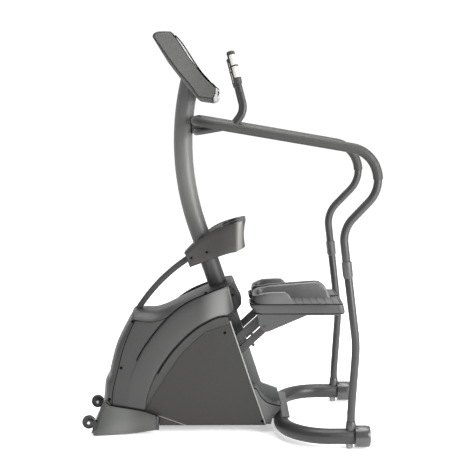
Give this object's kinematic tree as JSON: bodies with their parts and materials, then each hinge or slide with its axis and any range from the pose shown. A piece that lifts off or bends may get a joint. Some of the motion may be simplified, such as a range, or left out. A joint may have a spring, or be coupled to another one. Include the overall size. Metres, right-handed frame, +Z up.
{
  "type": "stair climber",
  "caption": "Floor-standing stair climber with two level foot pedals on parallel arms, a curved mast with console, and a looped tubular handrail with pulse grips.",
  "frame": {"origin": "on the floor, under the middle of the machine's overall box, in the centre plane between the pedals", "axes": "+X from the console end towards the user's end, +Z up, +Y to the user's right; the machine is symmetric about the XZ plane apart from the drive"},
  "size_m": [1.2701, 0.772, 1.73],
  "materials": {
    "frame_paint": "satin",
    "light_paint": "satin",
    "cover_plastic": "satin",
    "light_plastic": "satin",
    "panel_plastic": "matte",
    "cap_rubber": "gloss",
    "foot_rubber": "matte",
    "black_paint": "satin",
    "wheel_plastic": "satin",
    "steel": "brushed",
    "belt_rubber": "matte",
    "flywheel_iron": "machined",
    "pulley_metal": "satin",
    "pedal_plastic": "textured",
    "mat_rubber": "ribbed",
    "screw_black": "satin",
    "holder_plastic": "satin",
    "clamp_metal": "satin",
    "grip_rubber": "matte",
    "sensor_steel": "polished",
    "sleeve_metal": "satin",
    "console_plastic": "satin",
    "console_dark": "matte",
    "screen_gloss": "gloss",
    "key_green": "gloss",
    "key_red": "gloss",
    "key_grey": "gloss"
  },
  "bodies": {
    "frame": {"base_frame": "frame_paint", "rear_floor_tube": "frame_paint", "drive_frame": "frame_paint", "mast": "frame_paint", "front_brace": "frame_paint", "handrail": "frame_paint", "handrail_brace": "frame_paint", "lower_rails": "frame_paint", "pulse_stems": "frame_paint", "rear_post": "light_paint", "side_cover_left": "cover_plastic", "side_cover_right": "cover_plastic", "top_cover": "cover_plastic", "front_cover": "cover_plastic", "front_foot_cover": "cover_plastic", "rear_lower_cover": "light_plastic", "lower_panel_left": "panel_plastic", "lower_panel_right": "panel_plastic", "rear_end_caps": "cap_rubber", "rubber_feet": "foot_rubber", "wheel_brackets": "black_paint", "shaft_bearings": "steel", "pivot_shafts": "steel", "drive_belt": "belt_rubber", "return_belt_left": "belt_rubber", "return_belt_right": "belt_rubber", "generator": "pulley_metal", "cover_screws": "screw_black", "holder_left": "holder_plastic", "holder_right": "holder_plastic", "bar_clamp": "clamp_metal", "handrail_grips": "grip_rubber", "pulse_grips": "grip_rubber", "sensor_plates": "sensor_steel", "rail_sleeves": "sleeve_metal", "console_housing": "console_plastic", "console_back": "console_dark", "console_glass": "screen_gloss"},
    "left_arm": {"upper_arm_left": "frame_paint"},
    "right_arm": {"upper_arm_right": "frame_paint"},
    "left_link": {"lower_link_left": "frame_paint"},
    "right_link": {"lower_link_right": "frame_paint"},
    "left_pedal": {"pedal_left": "pedal_plastic", "pedal_mat_left": "mat_rubber", "pedal_bracket_left": "steel"},
    "right_pedal": {"pedal_right": "pedal_plastic", "pedal_mat_right": "mat_rubber", "pedal_bracket_right": "steel"},
    "left_hub": {"clutch_hub_left": "steel"},
    "right_hub": {"clutch_hub_right": "steel"},
    "drive_wheel": {"drive_pulley": "pulley_metal"},
    "flywheel_rotor": {"flywheel": "flywheel_iron"},
    "left_wheel": {"wheel_left": "wheel_plastic"},
    "right_wheel": {"wheel_right": "wheel_plastic"},
    "start_key": {"key_start": "key_green"},
    "stop_key": {"key_stop": "key_red"},
    "up_key": {"key_up": "key_grey"},
    "down_key": {"key_down": "key_grey"}
  },
  "joints": [
    {"name": "left_step", "type": "hinge", "parent": "frame", "child": "left_arm", "pos_m": [-0.132, -0.1, 0.2535], "axis": [0, 1, 0], "range_deg": [0, 36], "stiffness_Nm_per_rad": 30, "springref_deg": -91.67},
    {"name": "left_link_turn", "type": "hinge", "parent": "frame", "child": "left_link", "pos_m": [-0.132, -0.1, 0.1885], "axis": [0, 1, 0], "range_deg": [0, 36]},
    {"name": "left_pedal_level", "type": "hinge", "parent": "left_arm", "child": "left_pedal", "pos_m": [0.17517, -0.1, 0.53994], "axis": [0, 1, 0], "range_deg": [-36, 0]},
    {"name": "left_hub_turn", "type": "hinge", "parent": "frame", "child": "left_hub", "pos_m": [-0.29, -0.1, 0.385], "axis": [0, 1, 0], "range_deg": [0, 130]},
    {"name": "right_step", "type": "hinge", "parent": "frame", "child": "right_arm", "pos_m": [-0.132, 0.1, 0.2535], "axis": [0, 1, 0], "range_deg": [0, 36], "stiffness_Nm_per_rad": 30, "springref_deg": -91.67},
    {"name": "right_link_turn", "type": "hinge", "parent": "frame", "child": "right_link", "pos_m": [-0.132, 0.1, 0.1885], "axis": [0, 1, 0], "range_deg": [0, 36]},
    {"name": "right_pedal_level", "type": "hinge", "parent": "right_arm", "child": "right_pedal", "pos_m": [0.17517, 0.1, 0.53994], "axis": [0, 1, 0], "range_deg": [-36, 0]},
    {"name": "right_hub_turn", "type": "hinge", "parent": "frame", "child": "right_hub", "pos_m": [-0.29, 0.1, 0.385], "axis": [0, 1, 0], "range_deg": [0, 130]},
    {"name": "drive_spin", "type": "hinge", "parent": "frame", "child": "drive_wheel", "pos_m": [-0.29, 0, 0.385], "axis": [0, 1, 0], "continuous": true},
    {"name": "flywheel_spin", "type": "hinge", "parent": "frame", "child": "flywheel_rotor", "pos_m": [-0.41, 0, 0.19], "axis": [0, 1, 0], "continuous": true},
    {"name": "left_wheel_spin", "type": "hinge", "parent": "frame", "child": "left_wheel", "pos_m": [-0.605, -0.156, 0.0587], "axis": [0, 1, 0], "continuous": true},
    {"name": "right_wheel_spin", "type": "hinge", "parent": "frame", "child": "right_wheel", "pos_m": [-0.605, 0.156, 0.0587], "axis": [0, 1, 0], "continuous": true},
    {"name": "start_press", "type": "slide", "parent": "frame", "child": "start_key", "axis": [-0.6585, 0, -0.7526], "range_m": [0, 0.0015], "stiffness_N_per_m": 400},
    {"name": "stop_press", "type": "slide", "parent": "frame", "child": "stop_key", "axis": [-0.6585, 0, -0.7526], "range_m": [0, 0.0015], "stiffness_N_per_m": 400},
    {"name": "up_press", "type": "slide", "parent": "frame", "child": "up_key", "axis": [-0.6585, 0, -0.7526], "range_m": [0, 0.0015], "stiffness_N_per_m": 400},
    {"name": "down_press", "type": "slide", "parent": "frame", "child": "down_key", "axis": [-0.6585, 0, -0.7526], "range_m": [0, 0.0015], "stiffness_N_per_m": 400}
  ],
  "couplings": [
    {"joint": "left_link_turn", "follows": "left_step", "ratio": 1},
    {"joint": "left_pedal_level", "follows": "left_step", "ratio": -1},
    {"joint": "left_hub_turn", "follows": "left_step", "ratio": 3.5714},
    {"joint": "right_link_turn", "follows": "right_step", "ratio": 1},
    {"joint": "right_pedal_level", "follows": "right_step", "ratio": -1},
    {"joint": "right_hub_turn", "follows": "right_step", "ratio": 3.5714},
    {"joint": "flywheel_spin", "follows": "drive_spin", "ratio": 5}
  ]
}
